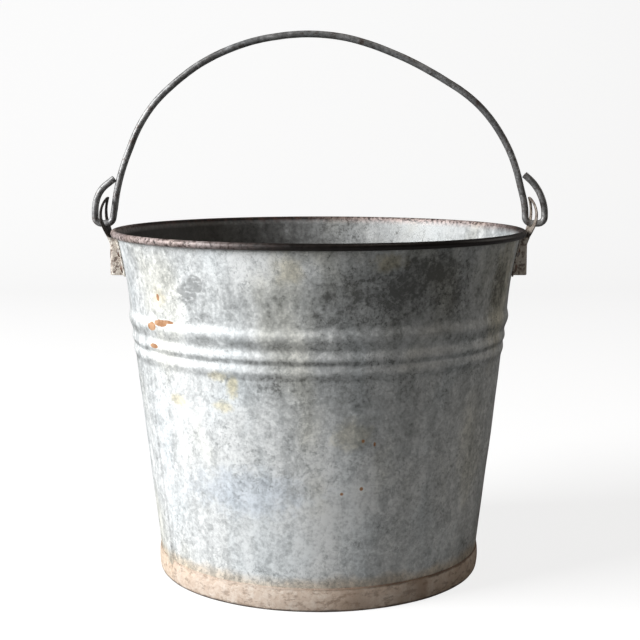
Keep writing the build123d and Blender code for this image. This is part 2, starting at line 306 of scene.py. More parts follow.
def spun_sheet_tree():
    """Geometry nodes that spin a closed section round Z, with slow dents and a raised seam."""
    group, given, result = new_group(
        "spun_sheet", "GeometryNodeTree",
        [("Section", "Geometry"), ("Turns", "Object"), ("Dent Depth", "Float", 0.0004),
         ("Dent Size", "Float", 0.06), ("Seam Lift", "Float", 0.0), ("Seed", "Float", 0.0),
         ("Material", "Material")],
        [("Geometry", "Geometry")])
    turns = place(group, "GeometryNodeObjectInfo", {"Object": given["Turns"]},
                  transform_space="ORIGINAL").outputs["Geometry"]
    ring_count = place(group, "GeometryNodeAttributeDomainSize", {"Geometry": given["Section"]}).outputs[0]
    turn_count = place(group, "GeometryNodeAttributeDomainSize", {"Geometry": turns}).outputs[0]
    grid = place(group, "GeometryNodeMeshGrid", {"Size X": 1.0, "Size Y": 1.0,
                                                 "Vertices X": sums(group, "ADD", ring_count, 1),
                                                 "Vertices Y": turn_count})
    index = place(group, "GeometryNodeInputIndex").outputs[0]
    row = sums(group, "FLOOR", sums(group, "DIVIDE", sums(group, "ADD", index, 0.5), turn_count))
    ring_index = sums(group, "MODULO", row, ring_count)
    turn_index = minus(group, index, times(group, row, turn_count))

    def sample(geometry, value, at, kind):
        node = place(group, "GeometryNodeSampleIndex", {"Geometry": geometry, "Index": at}, data_type=kind)
        group.links.new(value, node.inputs["Value"])
        return node.outputs["Value"]

    position = place(group, "GeometryNodeInputPosition").outputs[0]
    here = place(group, "ShaderNodeSeparateXYZ",
                 {0: sample(given["Section"], position, ring_index, "FLOAT_VECTOR")})
    turn = place(group, "ShaderNodeSeparateXYZ",
                 {0: sample(turns, position, turn_index, "FLOAT_VECTOR")})
    flags = {}
    for layer in ("outside", "rim", "give"):
        flags[layer] = sample(given["Section"], stored_layer(group, layer), ring_index, "FLOAT")
    across, up = sums(group, "COSINE", turn.outputs["X"]), sums(group, "SINE", turn.outputs["X"])

    def spun_to(radius):
        return place(group, "ShaderNodeCombineXYZ",
                     {"X": times(group, radius, across), "Y": times(group, radius, up),
                      "Z": here.outputs["Z"]}).outputs[0]

    plain = spun_to(here.outputs["X"])
    dent_scale = sums(group, "DIVIDE", 1.0, given["Dent Size"])
    dents = noise(group, plain, dent_scale, 2.5, 0.45, 0.0, given["Seed"])
    dent = times(group, minus(group, dents, 0.5), given["Dent Depth"])
    dent = times(group, dent, times(group, flags["give"], 4.0))
    plain_wall = times(group, flags["outside"], minus(group, 1.0, flags["rim"]))
    seam = times(group, turn.outputs["Y"], plain_wall)
    lifted = times_plus(group, seam, given["Seam Lift"], sums(group, "ADD", here.outputs["X"], dent))
    shaped = place(group, "GeometryNodeSetPosition",
                   {"Geometry": grid.outputs["Mesh"], "Position": spun_to(lifted)})
    stored = shaped.outputs[0]
    for layer in ("outside", "rim"):
        keep = place(group, "GeometryNodeStoreNamedAttribute",
                     {"Geometry": stored, "Name": layer, "Value": flags[layer]},
                     data_type="FLOAT", domain="POINT")
        stored = keep.outputs[0]
    closed = place(group, "GeometryNodeMergeByDistance", {"Geometry": stored, "Distance": 0.000004})
    turned = place(group, "GeometryNodeFlipFaces", {"Mesh": closed.outputs[0]})
    return end_tree(group, turned.outputs[0], given, result)


def made_by_nodes(name, source, tree, **values):
    """Runs a tree on a source and keeps the result as a plain mesh piece; underscores stand for spaces."""
    modifier = source.modifiers.new(tree.name, "NODES")
    modifier.node_group = tree
    for item in tree.interface.items_tree:
        value_name = item.name.replace(" ", "_")
        if item.in_out == "INPUT" and value_name in values:
            modifier[item.identifier] = values[value_name]
    bpy.context.view_layer.update()
    evaluated = source.evaluated_get(bpy.context.evaluated_depsgraph_get())
    mesh = bpy.data.meshes.new_from_object(evaluated)
    source.modifiers.remove(modifier)
    mesh.name = name
    piece = bpy.data.objects.new(name, mesh)
    scene.collection.objects.link(piece)
    for helper in [source] + [value for value in values.values() if isinstance(value, bpy.types.Object)]:
        bpy.data.objects.remove(helper)
    return piece


def colour_mix(tree, share, first, second, blend="MIX"):
    """Output of a colour mix."""
    node = tree.nodes.new("ShaderNodeMix")
    node.data_type = "RGBA"
    node.blend_type = blend
    sockets = {socket.identifier: socket for socket in node.inputs}
    for identifier, value in (("Factor_Float", share), ("A_Color", first), ("B_Color", second)):
        if isinstance(value, bpy.types.NodeSocket):
            tree.links.new(value, sockets[identifier])
        else:
            sockets[identifier].default_value = value
    return next(socket for socket in node.outputs if socket.identifier == "Result_Color")


def noise(tree, vector, scale, detail=4.0, roughness=0.55, distortion=0.0, seed=0.0):
    """Output of a noise texture at a scale in features per metre."""
    return place(tree, "ShaderNodeTexNoise",
                 {"Vector": vector, "W": seed, "Scale": scale, "Detail": detail, "Roughness": roughness,
                  "Distortion": distortion}, noise_dimensions="4D").outputs[0]


def stretched(tree, vector, x=1.0, y=1.0, z=1.0):
    """The vector with each axis scaled, so that a pattern runs long along the axes with a small scale."""
    node = place(tree, "ShaderNodeVectorMath", {0: vector, 1: (x, y, z)}, operation="MULTIPLY")
    return node.outputs[0]


def mottled_zinc_group():
    """Weathered hot-dip zinc: clouds, upright streaks, blotches, fine grain, dark flecks and fine curls."""
    group, given, result = new_group(
        "mottled_zinc", "ShaderNodeTree",
        [("Vector", "Vector"), ("Pale", "Color", (0.92, 0.94, 0.935, 1)),
         ("Middle", "Color", (0.52, 0.54, 0.54, 1)), ("Dark", "Color", (0.15, 0.155, 0.15, 1)),
         ("Warmth", "Float", 0.5), ("Shift", "Float", 0.0)],
        [("Colour", "Color"), ("Tone", "Float"), ("Relief", "Float")])
    vector = given["Vector"]
    upright = stretched(group, vector, z=0.5)
    clouds = noise(group, upright, 19, 4.0, 0.55, 0.5, 1.0)
    streaks = noise(group, stretched(group, vector, z=0.10), 95, 4.0, 0.62, 0.25, 13.0)
    blotches = noise(group, stretched(group, vector, z=0.8), 115, 5.0, 0.64, 0.5, 2.0)
    grain = noise(group, vector, 420, 4.0, 0.66, 0.0, 3.0)
    cells = place(group, "ShaderNodeTexVoronoi", {"Vector": vector, "Scale": 260.0, "Randomness": 1.0},
                  feature="F1").outputs["Color"]
    crystals = place(group, "ShaderNodeSeparateColor", {0: cells}).outputs[0]
    flecks = ramp(group, noise(group, vector, 300, 3.0, 0.55, 1.2, 14.0), 0.56, 0.66)
    curls = noise(group, vector, 95, 2.0, 0.45, 1.8, 4.0)
    hairline = ramp(group, sums(group, "ABSOLUTE", minus(group, curls, 0.5)), 0.0, 0.016, 1.0, 0.0)
    where = ramp(group, noise(group, vector, 26, 2.0, 0.5, 0.0, 5.0), 0.40, 0.58)
    marks = times(group, sums(group, "MAXIMUM", hairline, flecks), where)
    tone = sums(group, "ADD", 0.5, given["Shift"])
    for layer, weight in ((clouds, 0.80), (streaks, 0.72), (blotches, 0.95), (grain, 1.25), (crystals, 0.18)):
        tone = times_plus(group, minus(group, layer, 0.5), weight, tone)
    tone = times_plus(group, marks, -0.30, tone)
    low = colour_mix(group, ramp(group, tone, -0.20, 0.52), given["Dark"], given["Middle"])
    colour = colour_mix(group, ramp(group, tone, 0.36, 1.10), low, given["Pale"])
    hue = noise(group, upright, 24, 3.0, 0.5, 0.3, 6.0)
    cream = times(group, ramp(group, hue, 0.5, 0.72), given["Warmth"])
    blue = times(group, ramp(group, hue, 0.5, 0.3), 0.6)
    colour = colour_mix(group, cream, colour, (1.0, 0.96, 0.85, 1), "MULTIPLY")
    colour = colour_mix(group, blue, colour, (0.93, 0.97, 1.0, 1), "MULTIPLY")
    group.links.new(colour, result["Colour"])
    group.links.new(tone, result["Tone"])
    relief = times_plus(group, marks, -0.4, times_plus(group, grain, 0.8, blotches))
    group.links.new(relief, result["Relief"])
    return group


def rust_group():
    """Brown rust that spreads where Cover is high: its colour runs from fresh orange to old brown."""
    group, given, result = new_group(
        "rust", "ShaderNodeTree",
        [("Vector", "Vector"), ("Cover", "Float", 0.5), ("Scale", "Float", 120.0),
         ("Fresh", "Color", (0.40, 0.17, 0.055, 1)), ("Old", "Color", (0.085, 0.042, 0.026, 1))],
        [("Colour", "Color"), ("Mask", "Float")])
    patches = place(group, "ShaderNodeTexNoise", {"Vector": given["Vector"], "Scale": given["Scale"],
                                                  "Detail": 6.0, "Roughness": 0.62}).outputs[0]
    fine = noise(group, given["Vector"], 900, 3.0, 0.6, 0.0, 7.0)
    depth = times_plus(group, fine, 0.25, patches)
    limit = minus(group, 1.02, times(group, given["Cover"], 0.62))
    mask = ramp(group, minus(group, depth, limit), -0.05, 0.09)
    colour = colour_mix(group, ramp(group, patches, 0.35, 0.65), given["Fresh"], given["Old"])
    group.links.new(colour, result["Colour"])
    group.links.new(mask, result["Mask"])
    return group


def spot_group():
    """A ragged patch on the wall round an azimuth and a height; sizes are half widths in metres."""
    group, given, result = new_group(
        "wall_spot", "ShaderNodeTree",
        [("Vector", "Vector"), ("Azimuth", "Float", 0.0), ("Height", "Float", 0.1),
         ("Half Width", "Float", 0.01), ("Half Height", "Float", 0.01), ("Ragged", "Float", 0.5),
         ("Softness", "Float", 0.25)],
        [("Mask", "Float")])
    axes = place(group, "ShaderNodeSeparateXYZ", {0: given["Vector"]})
    x, y, z = axes.outputs[0], axes.outputs[1], axes.outputs[2]
    to_spot = sums(group, "RADIANS", given["Azimuth"])
    cosine, sine = sums(group, "COSINE", to_spot), sums(group, "SINE", to_spot)
    along = times_plus(group, x, cosine, times(group, y, sine))
    aside = minus(group, times(group, y, cosine), times(group, x, sine))
    aside = sums(group, "DIVIDE", aside, given["Half Width"])
    upward = sums(group, "DIVIDE", minus(group, z, given["Height"]), given["Half Height"])
    away = sums(group, "SQRT", times_plus(group, aside, aside, times(group, upward, upward)))
    edge = noise(group, given["Vector"], 140, 4.0, 0.6, 0.0, 8.0)
    away = times_plus(group, minus(group, edge, 0.5), times(group, given["Ragged"], 3.0), away)
    full, none = minus(group, 1.0, given["Softness"]), sums(group, "ADD", 1.0, given["Softness"])
    mask = ramp(group, away, full, none, 1.0, 0.0)
    mask = times(group, mask, ramp(group, along, 0.0, 0.06))
    group.links.new(mask, result["Mask"])
    return group


spun_sheet = spun_sheet_tree()
mottled_zinc = mottled_zinc_group()
rust = rust_group()
wall_spot = spot_group()


def use_group(tree, group, **fed):
    """Places a node group; underscores in the names stand for spaces."""
    node = tree.nodes.new("ShaderNodeGroup")
    node.node_tree = group
    for name, value in fed.items():
        socket = node.inputs[name.replace("_", " ")]
        if isinstance(value, bpy.types.NodeSocket):
            tree.links.new(value, socket)
        else:
            socket.default_value = value
    return node.outputs


def attribute(tree, name):
    """Output of a layer that the mesh carries."""
    return place(tree, "ShaderNodeAttribute", attribute_name=name).outputs["Fac"]


def metal_surface(tree, colour, metallic, roughness, relief, strength, distance):
    """Ends a material: the metal's shader, with its relief as a bump of a strength and a depth."""
    bump = place(tree, "ShaderNodeBump", {"Strength": strength, "Distance": distance, "Height": relief})
    shader = place(tree, "ShaderNodeBsdfPrincipled", {"Base Color": colour, "Metallic": metallic,
                                                      "Roughness": roughness, "Normal": bump.outputs[0]})
    place(tree, "ShaderNodeOutputMaterial", {"Surface": shader.outputs[0]})


def galvanised_material():
    """Zinc on the wall and the bottom: stains, a rusty rim, painted highlight and shade on the ridges,
    and painted shade inside the pail and on the front of the rim.

    A patch is given by its azimuth in degrees, its height, half width and half height in metres."""
    material, tree = blank_material("galvanised_sheet")
    vector = place(tree, "ShaderNodeTexCoord").outputs["Object"]
    height = place(tree, "ShaderNodeSeparateXYZ", {0: vector}).outputs["Z"]
    outside, rim = attribute(tree, "outside"), attribute(tree, "rim")

    def spot(azimuth, up, half_width, half_height, ragged, softness):
        return use_group(tree, wall_spot, Vector=vector, Azimuth=float(azimuth), Height=up,
                         Half_Width=half_width, Half_Height=half_height, Ragged=ragged,
                         Softness=softness)["Mask"]

    # slow changes of tone, with a dull dark stretch under the rim
    shift = 0.0
    for *patch, change in (
            (-62, 0.207, 0.078, 0.024, -0.37), (-70, 0.214, 0.02, 0.015, -0.18),
            (-58, 0.222, 0.018, 0.01, -0.18), (-84, 0.208, 0.013, 0.017, -0.1),
            (-73, 0.13, 0.034, 0.03, -0.16), (-104, 0.146, 0.022, 0.008, -0.12),
            (-122, 0.08, 0.09, 0.085, 0.28), (-150, 0.18, 0.06, 0.06, 0.1), (-52, 0.07, 0.07, 0.06, 0.2),
            (-105, 0.224, 0.045, 0.015, 0.32), (-90, 0.118, 0.012, 0.022, 0.12),
            (-68, 0.05, 0.012, 0.05, -0.12), (-48, 0.08, 0.014, 0.05, -0.08),
            (-40, 0.208, 0.013, 0.018, 0.14), (-27, 0.205, 0.009, 0.016, -0.3)):
        mask = spot(*patch, 0.45, 0.6)
        shift = times_plus(tree, times(tree, mask, outside), change, shift)

    # painted light on the ridges: a painted highlight along each upper flank and painted shade on each
    # lower flank, as light from above falls on them: (drop, half height, change)
    for drop, half_height, change in (
            (0.0555, 0.0028, 0.1), (0.064, 0.0034, -0.16), (0.0695, 0.0028, 0.12), (0.075, 0.0016, -0.26),
            (0.0785, 0.0026, 0.14), (0.0846, 0.0024, -0.16)):
        away = sums(tree, "ABSOLUTE", minus(tree, height, rim_top - drop))
        band = times(tree, ramp(tree, away, half_height * 0.4, half_height * 1.4, 1.0, 0.0), outside)
        shift = times_plus(tree, band, change, shift)
    zinc = use_group(tree, mottled_zinc, Vector=vector, Warmth=0.6, Shift=shift)
    colour = zinc["Colour"]

    # painted shade inside: the inner wall at the left and at the back is painted nearly black where it
    # stands in its own shade
    inside = minus(tree, 1.0, outside)
    for *patch, weight in (
            (170, 0.19, 0.12, 0.15, 0.95), (130, 0.205, 0.11, 0.09, 0.75), (50, 0.2, 0.09, 0.12, 0.25)):
        mask = times(tree, spot(*patch, 0.2, 0.6), inside)
        colour = colour_mix(tree, times(tree, mask, weight), colour, (0.021, 0.017, 0.014, 1))

    # a dull square patch, a bluish cloud, and yellow and cream stains
    square = sums(tree, "MAXIMUM", spot(-124.8, 0.2115, 0.0066, 0.0056, 0.30, 0.12),
                  spot(-127.8, 0.2050, 0.0078, 0.0066, 0.30, 0.12))
    speckle = noise(tree, stretched(tree, vector, z=2.5), 150, 3, 0.6, 0, 15.0)
    square = times(tree, square, ramp(tree, speckle, 0.36, 0.52))
    colour = colour_mix(tree, times(tree, square, 0.75), colour, (0.29, 0.30, 0.30, 1))
    colour = colour_mix(tree, times(tree, spot(-113, 0.078, 0.036, 0.014, 0.6, 0.6), 0.6), colour,
                        (0.84, 0.90, 1.0, 1), "MULTIPLY")
    for *patch, weight in (
            (-115, 0.148, 0.0036, 0.008, 1.0), (-119, 0.1535, 0.0065, 0.003, 0.8),
            (-118.5, 0.134, 0.006, 0.0038, 0.8), (-136, 0.134, 0.0068, 0.0038, 0.8),
            (-72, 0.2265, 0.01, 0.005, 0.8), (-97, 0.222, 0.008, 0.008, 0.4),
            (-140, 0.2, 0.006, 0.006, 0.5), (-80, 0.118, 0.011, 0.009, 0.45),
            (-25, 0.2, 0.016, 0.04, 0.4)):
        mask = times(tree, spot(*patch, 0.7, 0.5), weight)
        colour = colour_mix(tree, times(tree, mask, outside), colour, (0.98, 0.89, 0.68, 1), "MULTIPLY")

    # tan dirt that has crept up from the foot band
    crept = times_plus(tree, minus(tree, noise(tree, vector, 60, 4, 0.6, 0, 17.0), 0.5), 0.014, height)
    crept = times(tree, ramp(tree, crept, foot_height + 0.010, foot_height + 0.001), outside)
    colour = colour_mix(tree, crept, colour, (1.0, 0.87, 0.74, 1), "MULTIPLY")

    # rust: one bare patch at the seam's ridge, small spots, and a bloom under the rim and at the ears
    cover = 0.0
    for patch in (
            (-140.5, 0.1832, 0.0075, 0.0022), (-145.0, 0.18, 0.0052, 0.003),
            (-137.0, 0.1846, 0.006, 0.0011), (-140.5, 0.2, 0.0016, 0.0024),
            (-145.5, 0.1668, 0.0048, 0.0014), (-77.0, 0.0825, 0.0011, 0.0012),
            (-83.0, 0.0795, 0.001, 0.0008), (-77.0, 0.114, 0.001, 0.0011),
            (-73.5, 0.1115, 0.0007, 0.0014)):
        cover = sums(tree, "MAXIMUM", cover, spot(*patch, 0.30, 0.30))
    bare = use_group(tree, rust, Vector=vector, Cover=times(tree, cover, 1.35), Scale=190.0,
                     Fresh=(0.55, 0.33, 0.19, 1), Old=(0.36, 0.18, 0.085, 1))
    under_rim = ramp(tree, height, rim_top - 0.030, rim_top - 0.004, 0.0, 0.40)
    bloom = use_group(tree, rust, Vector=vector, Cover=times(tree, under_rim, outside), Scale=70.0,
                      Fresh=(0.48, 0.37, 0.27, 1), Old=(0.30, 0.23, 0.18, 1))
    colour = colour_mix(tree, times(tree, bloom["Mask"], 0.55), colour, bloom["Colour"])
    colour = colour_mix(tree, bare["Mask"], colour, bare["Colour"])

    # the rolled rim has gone black-brown; stretches at the left and at the back are still pinkish grey
    rim_rust = use_group(tree, rust, Vector=vector, Cover=0.95, Scale=210.0, Fresh=(0.060, 0.030, 0.023, 1),
                         Old=(0.012, 0.009, 0.008, 1))
    rim_zinc = use_group(tree, mottled_zinc, Vector=vector, Warmth=1.0, Shift=-0.04,
                         Pale=(0.72, 0.63, 0.60, 1), Middle=(0.42, 0.34, 0.32, 1), Dark=(0.12, 0.08, 0.07, 1))
    kept_zinc = sums(tree, "MAXIMUM", spot(-150, rim_z, 0.090, 0.05, 0.15, 0.35),
                     spot(50, rim_z, 0.08, 0.05, 0.15, 0.4))
    speckle = noise(tree, vector, 420, 4, 0.65, 0, 10.0)
    kept_zinc = times(tree, kept_zinc, ramp(tree, speckle, 0.36, 0.56))
    rim_colour = colour_mix(tree, kept_zinc, rim_rust["Colour"], rim_zinc["Colour"])
    # painted shade: the front right of the rim is painted nearly black where it turns from the window; it is
    # also made less rough there
    painted_rim_shade = times(tree, spot(-62, rim_z, 0.110, 0.05, 0.10, 0.35), 0.92)
    rim_colour = colour_mix(tree, painted_rim_shade, rim_colour, (0.010, 0.008, 0.007, 1))
    colour = colour_mix(tree, rim, colour, rim_colour)

    rough = ramp(tree, zinc["Tone"], 0.2, 0.9, 0.50, 0.64)
    rough = times_plus(tree, bare["Mask"], 0.25, rough)
    rough = times_plus(tree, times(tree, rim, painted_rim_shade), -0.18, rough)
    kept = minus(tree, 1.0, bare["Mask"])
    metal = times(tree, ramp(tree, zinc["Tone"], 0.2, 0.9, 0.38, 0.16), kept)
    relief = times_plus(tree, noise(tree, vector, 1400, 2, 0.5, 0, 11.0), 0.15, zinc["Relief"])
    relief = times_plus(tree, bare["Mask"], -0.5, relief)
    metal_surface(tree, colour, metal, rough, relief, 0.30, 0.0005)
    return material


galvanised = galvanised_material()
rim_give = 0.25
ridges_low, ridges_high = rim_top - ridge_steps[0][0], rim_top - ridge_steps[-1][0]


def slack(z):
    """How freely the wall dents at a height: not at the foot, a little at the rim, fully between."""
    return min(1.0, (z - wall_low) / 0.05, (rim_z - z) / 0.05 + rim_give)


wall_rows = rows(wall_low, ridges_low, 0.0055) + rows(ridges_low, ridges_high, 0.0011)
wall_rows += rows(ridges_high, rim_z, 0.0035)
rim_centre = (wall_radius(rim_z, rim_wire_radius), rim_z)
curl_start = math.pi - lean_at(rim_z, rim_wire_radius)
curl_end = curl_start - curl_turn
curl = arc(rim_centre, rim_wire_radius, curl_start, curl_end, 12)
curl += arc(rim_centre, bead_radius, curl_end, curl_start, 26)
wall_ring = [(wall_radius(z, ridge_height(z)), z, 1.0, 0.0, slack(z)) for z in wall_rows]
wall_ring += [(radius, z, 1.0, 1.0, rim_give) for radius, z in curl]
wall_ring += [(wall_radius(z, ridge_height(z) - sheet), z, 0.0, 0.0, slack(z)) for z in reversed(wall_rows)]
body_sheet = made_by_nodes("body_sheet", ring_mesh("wall_ring", wall_ring), spun_sheet,
                           Turns=turn_mesh("wall_turns", 340, seam_azimuth), Dent_Depth=0.0005,
                           Dent_Size=0.055, Seam_Lift=seam_lift, Seed=3.0, Material=galvanised)
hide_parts("body_wall")
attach(body_sheet, "pail")

# ------------------------------------------------------------
# The rim wire: a hoop of steel wire inside the curl. Only a sliver of it shows, so its CAD solid stays.
wire_material, tree = blank_material("rim_wire_steel")
wire_vector = place(tree, "ShaderNodeTexCoord").outputs["Object"]
wire_rust = use_group(tree, rust, Vector=wire_vector, Cover=0.8, Scale=160.0)
wire_colour = colour_mix(tree, wire_rust["Mask"], (0.12, 0.11, 0.105, 1), wire_rust["Colour"])
wire_shader = place(tree, "ShaderNodeBsdfPrincipled",
                    {"Base Color": wire_colour, "Metallic": 0.6, "Roughness": 0.6})
place(tree, "ShaderNodeOutputMaterial", {"Surface": wire_shader.outputs[0]})
rim_wire = frame["nodes"]["rim_wire"]
rim_wire.data.materials.clear()
rim_wire.data.materials.append(wire_material)

# ------------------------------------------------------------
# The bottom: a disc of the same sheet, pressed a little hollow, with a skirt turned down inside the wall.
pan_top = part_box("bottom_pan")[1].z
pan_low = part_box("bottom_pan")[0].z
pan_corner = 0.0024
pan_dish = 0.0007
pan_row_count = 44
# The pressed ring: where it runs and how wide it is, as shares of the disc, and its depth.
press_at, press_width, press_depth = 0.86, 0.022, 0.0006
dish_share = 0.8


def pan_surface(radius):
    """Height of the disc's upper face: slightly domed, with a shallow pressed ring near the skirt."""
    share = radius / wall_radius(pan_top)
    press = press_depth * math.exp(-((share - press_at) / press_width) ** 2)
    return pan_top + pan_dish * (math.cos(math.pi * min(share / dish_share, 1.0)) - 1) / 2 - press


pan_edge = wall_radius(pan_top, -sheet)
pan_bend = (pan_edge - pan_corner, pan_top - pan_corner)
flat_rows = [pan_edge * (1 - i / pan_row_count) for i in range(1, pan_row_count + 1)]
flat_rows = [radius for radius in flat_rows if radius < pan_edge - pan_corner * 1.2]
pan_skirt = [(wall_radius(pan_low, -sheet), pan_low), (wall_radius(pan_bend[1], -sheet), pan_bend[1])]
pan_disc = arc(pan_bend, pan_corner, 0, math.pi / 2, 6)[1:]
pan_disc += [(radius, pan_surface(radius)) for radius in flat_rows]
pan_disc += [(radius, pan_surface(radius) - sheet) for radius in reversed(flat_rows)]
pan_disc += arc(pan_bend, pan_corner - sheet, math.pi / 2, 0, 6)[1:-1]
pan_disc.append((wall_radius(pan_low, -2 * sheet), pan_low))
pan_ring = [(radius, z, 1.0, 0.0, 0.0) for radius, z in pan_skirt]
pan_ring += [(radius, z, 0.0, 0.0, 0.0) for radius, z in pan_disc]
bottom = made_by_nodes("bottom", ring_mesh("pan_ring", pan_ring), spun_sheet,
                       Turns=turn_mesh("pan_turns", 240), Dent_Depth=0.0, Dent_Size=0.05, Seam_Lift=0.0,
                       Seed=5.0, Material=galvanised)
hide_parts("bottom_pan")
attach(bottom, "pail")

# ------------------------------------------------------------
# The foot band: a hoop of heavier strip, swelled in a roll, driven on round the base and turned in under
# the wall. The dip pooled on it, and years on damp floors have stained it tan to brown.
band_base, band_swell, band_top = 0.0019, 0.0021, 0.00035
swell_height = 0.006
edge_round = 0.0005
top_round = 0.0004
band_rows = 18
lip_inside = wall_radius(wall_low, -2 * sheet)


def band_proud(z):
    """How far the band stands proud of the wall: a curve through its foot, its swell and its top edge."""
    foot_share = (z - swell_height) * (z - foot_height) / (swell_height * foot_height)
    swell_share = z * (z - foot_height) / (swell_height * (swell_height - foot_height))
    top_share = z * (z - swell_height) / (foot_height * (foot_height - swell_height))
    return band_base * foot_share + band_swell * swell_share + band_top * top_share


band_ring = []
for step in range(band_rows + 1):
    z = foot_height * step / band_rows
    eased = edge_round if step == 0 else 0.0
    band_ring.append((wall_radius(z, band_proud(z)) - eased, z, 1.0, 0.0, 1.0))
band_inside = [(wall_radius(foot_height), foot_height - top_round), (wall_radius(wall_low), wall_low),
               (lip_inside, wall_low), (lip_inside, 0)]
band_ring += [(radius, z, 0.0, 0.0, 0.0) for radius, z in band_inside]


def foot_material():
    """Stained strip: tan over zinc, brown in patches, dark at the lower edge and along the joint."""
    material, tree = blank_material("foot_steel")
    vector = place(tree, "ShaderNodeTexCoord").outputs["Object"]
    axes = place(tree, "ShaderNodeSeparateXYZ", {0: vector}).outputs
    zinc = use_group(tree, mottled_zinc, Vector=vector, Warmth=0.6, Shift=0.12, Pale=(0.86, 0.76, 0.66, 1),
                     Middle=(0.70, 0.56, 0.45, 1), Dark=(0.50, 0.38, 0.29, 1))
    brown = use_group(tree, rust, Vector=stretched(tree, vector, z=1.8), Cover=0.55, Scale=170.0,
                      Fresh=(0.50, 0.33, 0.22, 1), Old=(0.24, 0.15, 0.10, 1))
    colour = colour_mix(tree, times(tree, brown["Mask"], 0.5), zinc["Colour"], brown["Colour"])
    uneven = times(tree, minus(tree, noise(tree, vector, 70, 4, 0.6, 0, 12.0), 0.5), 0.004)
    level = sums(tree, "ADD", axes["Z"], uneven)
    joint = ramp(tree, level, foot_height - 0.0022, foot_height - 0.0006)
    lower = ramp(tree, level, 0.0022, 0.0006)
    # darker towards the right side (+X): the joint's dark line deepens and broad brown patches spread there
    side = ramp(tree, axes["X"], -0.05, 0.07, 0.25, 0.90)
    colour = colour_mix(tree, times(tree, joint, side), colour, (0.17, 0.105, 0.07, 1))
    colour = colour_mix(tree, times(tree, lower, 0.85), colour, (0.07, 0.05, 0.04, 1))
    browner_to_right = ramp(tree, noise(tree, stretched(tree, vector, z=0.4), 30, 3, 0.6, 0, 16.0), 0.42, 0.62)
    browner_to_right = times(tree, browner_to_right, ramp(tree, side, 0.3, 0.9, 0.05, 0.6))
    colour = colour_mix(tree, browner_to_right, colour, (0.38, 0.26, 0.18, 1))
    relief = times_plus(tree, brown["Mask"], -0.4, zinc["Relief"])
    metal_surface(tree, colour, 0.15, ramp(tree, zinc["Tone"], 0.2, 0.9, 0.55, 0.75), relief, 0.35, 0.0006)
    return material


foot = made_by_nodes("foot_hoop", ring_mesh("band_ring", band_ring), spun_sheet,
                     Turns=turn_mesh("band_turns", 300), Dent_Depth=0.00018, Dent_Size=0.022, Seam_Lift=0.0,
                     Seed=8.0, Material=foot_material())
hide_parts("foot_band")
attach(foot, "pail")

# ------------------------------------------------------------
# The ears: two pieces of steel plate, each stamped in one blow into a channel with side flanges and an eye
# plate that bows outwards. Their edges are soft from the dip, which has worn through to brown rust.


def ear_material():
    material, tree = blank_material("ear_steel")
    vector = place(tree, "ShaderNodeTexCoord").outputs["Object"]
    axes = place(tree, "ShaderNodeSeparateXYZ", {0: vector}).outputs
    # painted light: the ears are painted paler below the rim, where the window lights the channel, and darker
    # above it, where neck and eye plate stand in shade
    above = ramp(tree, axes["Z"], rim_top - 0.010, rim_top - 0.002)
    zinc = use_group(tree, mottled_zinc, Vector=vector, Warmth=1.0, Pale=(0.90, 0.87, 0.80, 1),
                     Shift=ramp(tree, above, 0.0, 1.0, 0.24, -0.10),
                     Middle=(0.56, 0.50, 0.44, 1), Dark=(0.13, 0.10, 0.085, 1))
    brown = use_group(tree, rust, Vector=vector, Cover=0.60, Scale=260.0, Fresh=(0.32, 0.19, 0.13, 1),
                      Old=(0.10, 0.06, 0.045, 1))
    colour = colour_mix(tree, times(tree, brown["Mask"], 0.8), zinc["Colour"], brown["Colour"])
    # painted shade: the necks and eye plates are painted nearly black on the left ear and less so on the
    # right, as they face away from the window
    painted_ear_shade = times(tree, above, ramp(tree, axes["X"], 0.1, -0.1, 0.35, 0.97))
    colour = colour_mix(tree, painted_ear_shade, colour, (0.024, 0.019, 0.016, 1))
    relief = times_plus(tree, brown["Mask"], -0.4, zinc["Relief"])
    metal_surface(tree, colour, 0.30, ramp(tree, zinc["Tone"], 0.2, 0.9, 0.5, 0.68), relief, 0.6, 0.0005)
    return material


def plain_mesh(name, source):
    """Keeps what the source's modifiers make of it as a plain mesh piece, and removes the source."""
    bpy.context.view_layer.update()
    evaluated = source.evaluated_get(bpy.context.evaluated_depsgraph_get())
    mesh = bpy.data.meshes.new_from_object(evaluated)
    mesh.name = name
    piece = bpy.data.objects.new(name, mesh)
    scene.collection.objects.link(piece)
    bpy.data.objects.remove(source)
    return piece


def soft_edged(name, node, voxel, rounds):
    """A copy of a CAD solid whose edges are rounded as a dip of zinc rounds them."""
    blank = bpy.data.objects.new("blank", frame["nodes"][node].data.copy())
    scene.collection.objects.link(blank)
    weld = blank.modifiers.new("weld", "WELD")
    weld.merge_threshold = 0.000005
    remesh = blank.modifiers.new("even", "REMESH")
    remesh.mode = "VOXEL"
    remesh.voxel_size = voxel
    remesh.use_smooth_shade = True
    smooth = blank.modifiers.new("soft", "SMOOTH")
    smooth.factor = 0.5
    smooth.iterations = rounds
    return plain_mesh(name, blank)


ear_steel = ear_material()
for side in ("left", "right"):
    ear = soft_edged("ear_plate_" + side, "ear_" + side, 0.00036, 4)
    ear.data.materials.clear()
    ear.data.materials.append(ear_steel)
    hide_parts("ear_" + side)
    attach(ear, "pail")

# ------------------------------------------------------------
# The rivets: four to an ear, soft steel, set hot through flange and wall, with a full dome outside and a
# flatter head inside.
rivet_radius, rivet_head, rivet_dome, rivet_inner_dome = 0.0016, 0.0033, 0.0016, 0.0011
ear_sheet = 0.0013
rivet_offset = 0.0175
rivet_drops = (0.0156, 0.0266)
rivet_inner_ease, rivet_outer_ease = 0.00006, 0.00003


